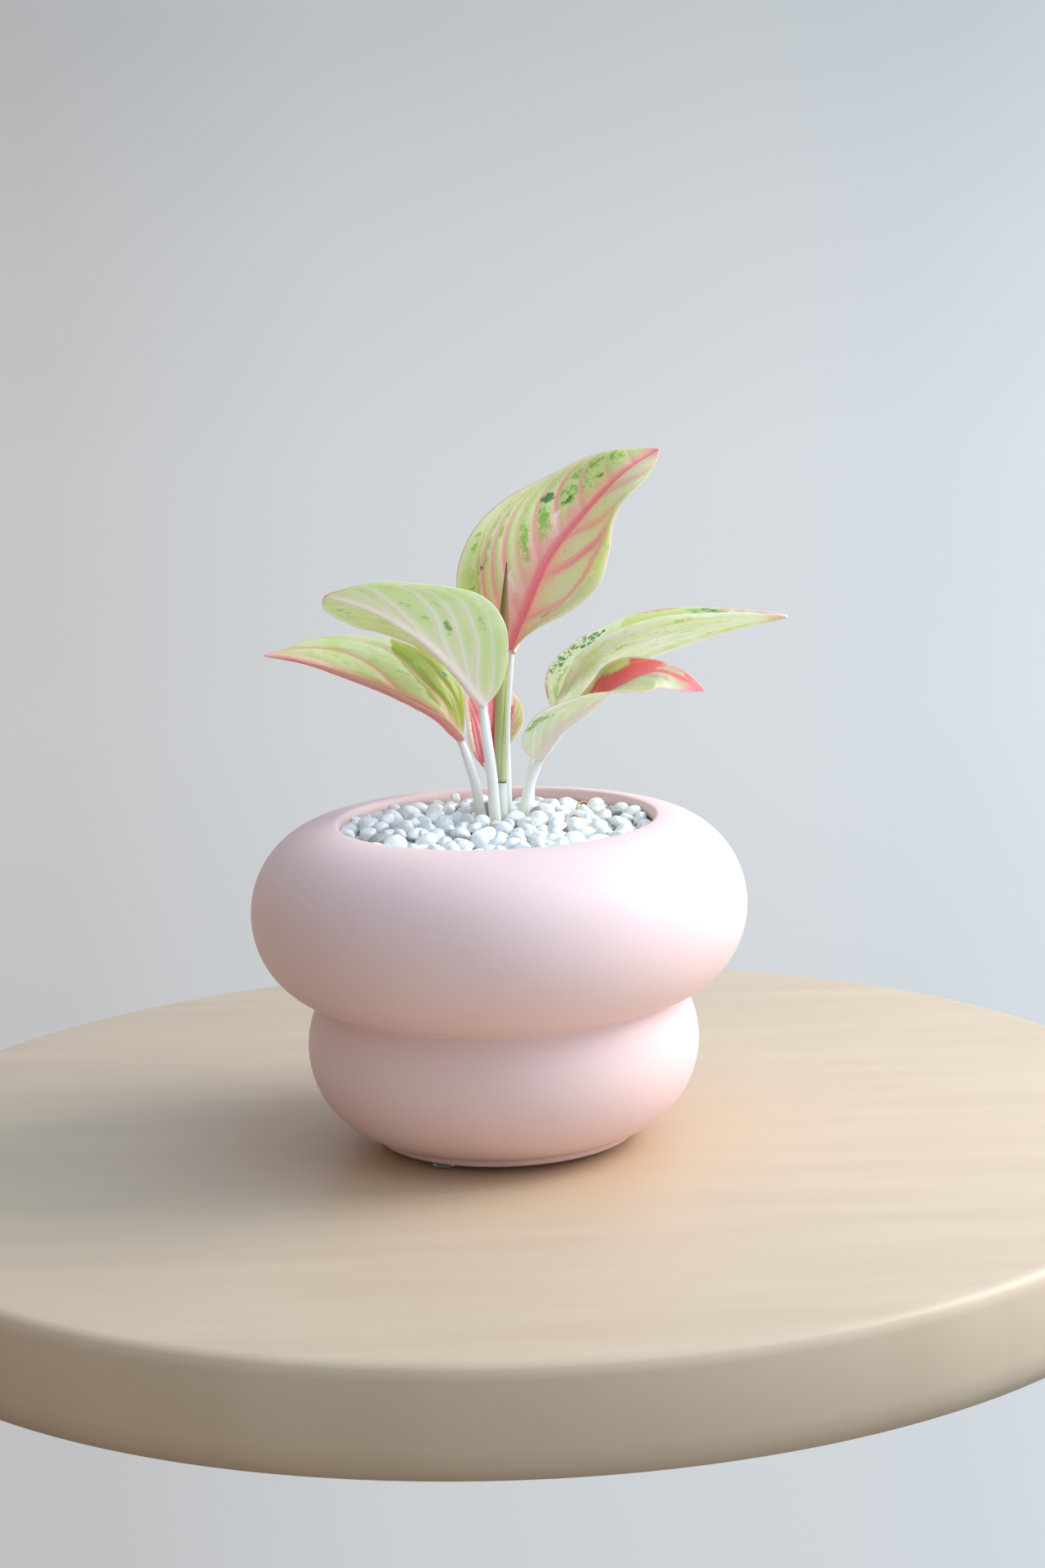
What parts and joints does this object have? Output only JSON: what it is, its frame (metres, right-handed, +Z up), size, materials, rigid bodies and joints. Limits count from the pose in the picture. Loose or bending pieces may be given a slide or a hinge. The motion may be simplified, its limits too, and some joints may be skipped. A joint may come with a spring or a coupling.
{
  "type": "potted aglaonema",
  "caption": "Variegated aglaonema with pink-veined leaves on cream stalks, in a matte pink pot of two stacked bulges filled with white gravel and standing on clear pads",
  "frame": {"origin": "on the surface that the pads stand on, under the middle of the whole plant's box; the pot's own axis stands 10.9 mm to its left, at x = -10.9 mm", "axes": "+Z up; +X to the right and +Y away from the viewer as the plant is seen from its front, with the tall leaf at the back and the long leaf reaching right"},
  "size_m": [0.2218, 0.1996, 0.2754],
  "materials": {
    "pot": "satin",
    "pad": "gloss",
    "soil": "matte",
    "gravel": "satin",
    "stalk": "satin",
    "leaf": "satin",
    "new_leaf": "satin"
  },
  "bodies": {
    "root": {"pot": "pot", "pad_1": "pad", "pad_2": "pad", "pad_3": "pad", "soil": "soil", "gravel": "gravel", "stems": "stalk", "leaf_top": "leaf", "leaf_front_left": "leaf", "leaf_left": "leaf", "leaf_right_upper": "leaf", "leaf_right_lower": "leaf", "leaf_back": "leaf", "new_leaf": "new_leaf"}
  },
  "joints": []
}
